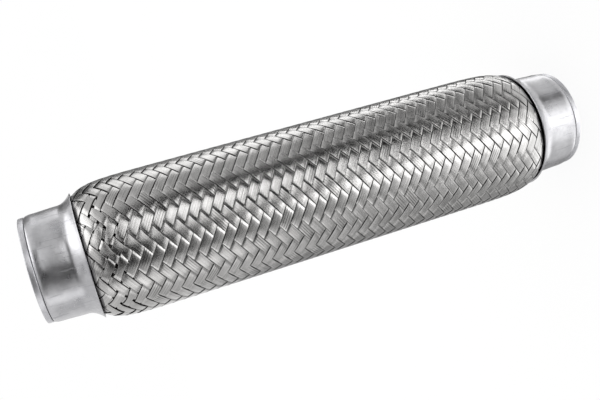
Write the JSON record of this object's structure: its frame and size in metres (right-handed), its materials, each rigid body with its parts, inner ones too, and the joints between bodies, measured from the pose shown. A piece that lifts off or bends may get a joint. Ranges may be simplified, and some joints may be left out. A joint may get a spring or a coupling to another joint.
{
  "type": "braided exhaust flex pipe",
  "caption": "Flexible exhaust coupling: a corrugated bellows with a strip-wound liner under a woven steel wire braid, held at both ends in flared steel caps with open mouths.",
  "frame": {"origin": "centre of the lower mouth's rim, where the pipe stands", "axes": "+Z along the pipe from the lower mouth to the upper mouth; X and Y lie across it"},
  "size_m": [0.0714, 0.0714, 0.3],
  "materials": {
    "cap_steel": "satin pressed stainless sheet",
    "ring_steel": "satin stainless sheet",
    "braid_steel": "bright stainless wire, woven",
    "bellows_steel": "thin formed stainless sheet",
    "liner_steel": "strip-wound stainless"
  },
  "bodies": {
    "lower_end": {"lower_end_cap": "cap_steel", "lower_inner_ring": "ring_steel", "outer_braid": "braid_steel", "bellows": "bellows_steel", "interlock_liner": "liner_steel"},
    "upper_end": {"upper_end_cap": "cap_steel", "upper_inner_ring": "ring_steel"}
  },
  "joints": [
    {"name": "flex_bend", "type": "hinge", "parent": "lower_end", "child": "upper_end", "pos_m": [0, 0, 0.15], "axis": [0, 1, 0], "range_deg": [-10, 10], "stiffness_Nm_per_rad": 60, "deforming": ["outer_braid", "bellows", "interlock_liner"]}
  ]
}
